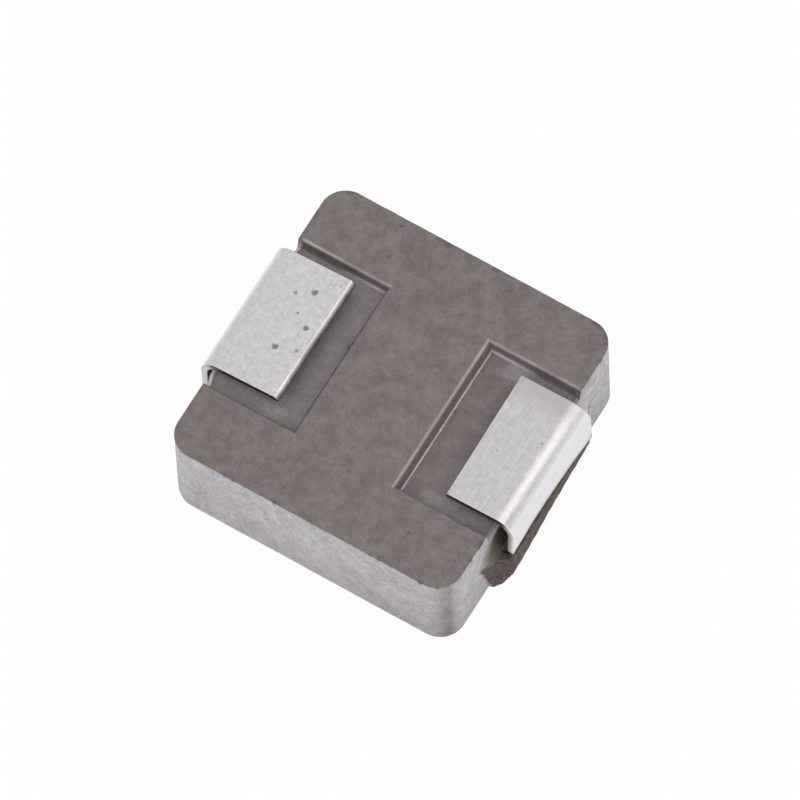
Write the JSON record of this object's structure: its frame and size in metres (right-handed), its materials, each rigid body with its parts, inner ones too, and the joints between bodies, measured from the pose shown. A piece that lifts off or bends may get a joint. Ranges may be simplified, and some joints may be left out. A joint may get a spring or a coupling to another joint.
{
  "type": "moulded power inductor",
  "caption": "Square moulded surface-mount power inductor, solder side up, with two folded tinned terminals over pockets.",
  "frame": {"origin": "centre of the body's flat pick-up face, which the part lies on with its solder side up", "axes": "+X from the left terminal to the right terminal, +Y along the width of the terminals, +Z towards the solder side"},
  "size_m": [0.0073, 0.0066, 0.0028],
  "materials": {
    "pressed_powder": "matte",
    "enamelled_copper": "gloss",
    "tinned_copper": "satin"
  },
  "bodies": {
    "root": {"body": "pressed_powder", "coil": "enamelled_copper", "terminal_left": "tinned_copper", "terminal_right": "tinned_copper"}
  },
  "joints": []
}
